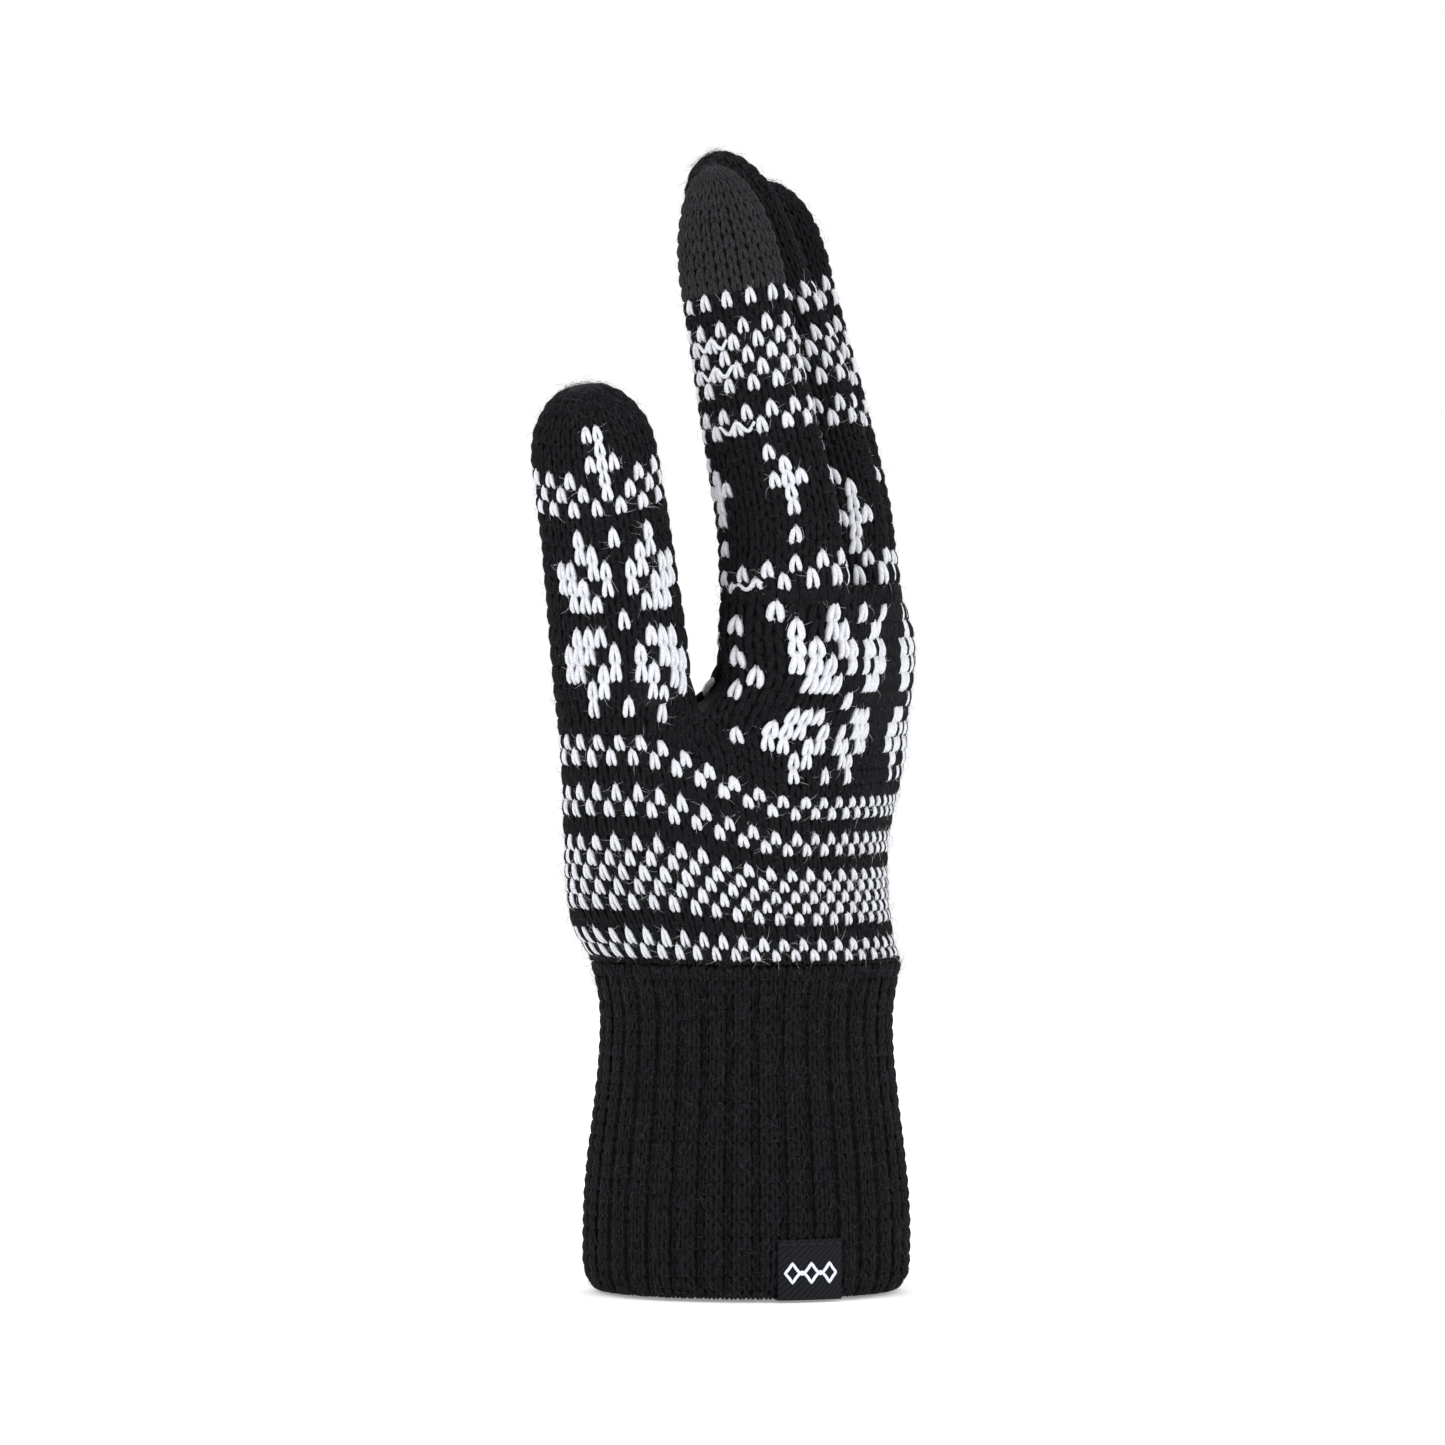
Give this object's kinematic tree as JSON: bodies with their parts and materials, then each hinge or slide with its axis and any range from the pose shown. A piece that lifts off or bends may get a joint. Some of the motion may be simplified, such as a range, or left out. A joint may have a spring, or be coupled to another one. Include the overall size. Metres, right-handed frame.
{
  "type": "knitted glove",
  "caption": "Right-hand knitted jacquard glove with a rib cuff, bendable finger stalls, a touchscreen forefinger tip and a folded hem label.",
  "frame": {"origin": "centre of the wrist opening, in the plane of the hem that the glove stands on", "axes": "+Z along the hand towards the fingertips, +X out of the back of the hand, -Y towards the forefinger and thumb"},
  "size_m": [0.0742, 0.1216, 0.2584],
  "materials": {
    "black_yarn": "matt, fine fuzz",
    "jacquard_yarn": "matt, black and white yarn, fine fuzz",
    "white_yarn": "matt, fine fuzz",
    "touch_yarn": "matt grey conductive yarn with pale specks",
    "label_weave": "satin twill",
    "sewing_thread": "smooth thread"
  },
  "bodies": {
    "palm": {"cuff_rib": "black_yarn", "cuff_hem": "black_yarn", "woven_label": "label_weave", "label_stitching": "sewing_thread", "lower_palm": "jacquard_yarn", "upper_palm": "jacquard_yarn", "thumb_base_band": "jacquard_yarn", "index_base_band": "jacquard_yarn", "middle_base_band": "jacquard_yarn", "ring_base_band": "jacquard_yarn", "little_base_band": "jacquard_yarn"},
    "thumb_lower": {"thumb_lower_stall": "jacquard_yarn", "thumb_middle_band": "jacquard_yarn"},
    "thumb_upper": {"thumb_upper_stall": "jacquard_yarn", "thumb_closing_knot": "black_yarn"},
    "index_lower": {"index_lower_stall": "jacquard_yarn", "index_middle_band": "jacquard_yarn"},
    "index_upper": {"index_upper_stall": "jacquard_yarn", "index_touch_tip": "touch_yarn", "index_closing_knot": "black_yarn"},
    "middle_lower": {"middle_lower_stall": "jacquard_yarn", "middle_middle_band": "jacquard_yarn"},
    "middle_upper": {"middle_upper_stall": "jacquard_yarn", "middle_closing_knot": "black_yarn"},
    "ring_lower": {"ring_lower_stall": "jacquard_yarn", "ring_middle_band": "jacquard_yarn"},
    "ring_upper": {"ring_upper_stall": "jacquard_yarn", "ring_closing_knot": "black_yarn"},
    "little_lower": {"little_lower_stall": "jacquard_yarn", "little_middle_band": "jacquard_yarn"},
    "little_upper": {"little_upper_stall": "jacquard_yarn", "little_closing_knot": "black_yarn"}
  },
  "joints": [
    {"name": "thumb_knuckle", "type": "hinge", "parent": "palm", "child": "thumb_lower", "pos_m": [-0.01577, -0.05103, 0.14557], "axis": [0, -0.9613, -0.2756], "range_deg": [-10, 30], "deforming": ["thumb_base_band"]},
    {"name": "thumb_mid_knuckle", "type": "hinge", "parent": "thumb_lower", "child": "thumb_upper", "pos_m": [-0.01664, -0.05792, 0.16959], "axis": [0, -0.9613, -0.2756], "range_deg": [0, 50], "deforming": ["thumb_middle_band"]},
    {"name": "index_knuckle", "type": "hinge", "parent": "palm", "child": "index_lower", "pos_m": [0.01682, -0.03382, 0.17059], "axis": [0, -0.9998, -0.0209], "range_deg": [-10, 60], "deforming": ["index_base_band"]},
    {"name": "index_mid_knuckle", "type": "hinge", "parent": "index_lower", "child": "index_upper", "pos_m": [0.01019, -0.03454, 0.20493], "axis": [0, -0.9998, -0.0209], "range_deg": [0, 60], "deforming": ["index_middle_band"]},
    {"name": "middle_knuckle", "type": "hinge", "parent": "palm", "child": "middle_lower", "pos_m": [0.02169, -0.01128, 0.17138], "axis": [0, -1, -0.007], "range_deg": [-10, 60], "deforming": ["middle_base_band"]},
    {"name": "middle_mid_knuckle", "type": "hinge", "parent": "middle_lower", "child": "middle_upper", "pos_m": [0.01337, -0.01154, 0.20803], "axis": [0, -1, -0.007], "range_deg": [0, 60], "deforming": ["middle_middle_band"]},
    {"name": "ring_knuckle", "type": "hinge", "parent": "palm", "child": "ring_lower", "pos_m": [0.01764, 0.01142, 0.17059], "axis": [0, -0.9998, 0.0209], "range_deg": [-10, 60], "deforming": ["ring_base_band"]},
    {"name": "ring_mid_knuckle", "type": "hinge", "parent": "ring_lower", "child": "ring_upper", "pos_m": [0.01129, 0.01214, 0.20498], "axis": [0, -0.9998, 0.0209], "range_deg": [0, 60], "deforming": ["ring_middle_band"]},
    {"name": "little_knuckle", "type": "hinge", "parent": "palm", "child": "little_lower", "pos_m": [0.01278, 0.03427, 0.16957], "axis": [0, -0.9976, 0.0698], "range_deg": [-10, 60], "deforming": ["little_base_band"]},
    {"name": "little_mid_knuckle", "type": "hinge", "parent": "little_lower", "child": "little_upper", "pos_m": [0.00863, 0.0362, 0.19718], "axis": [0, -0.9976, 0.0698], "range_deg": [0, 60], "deforming": ["little_middle_band"]}
  ]
}
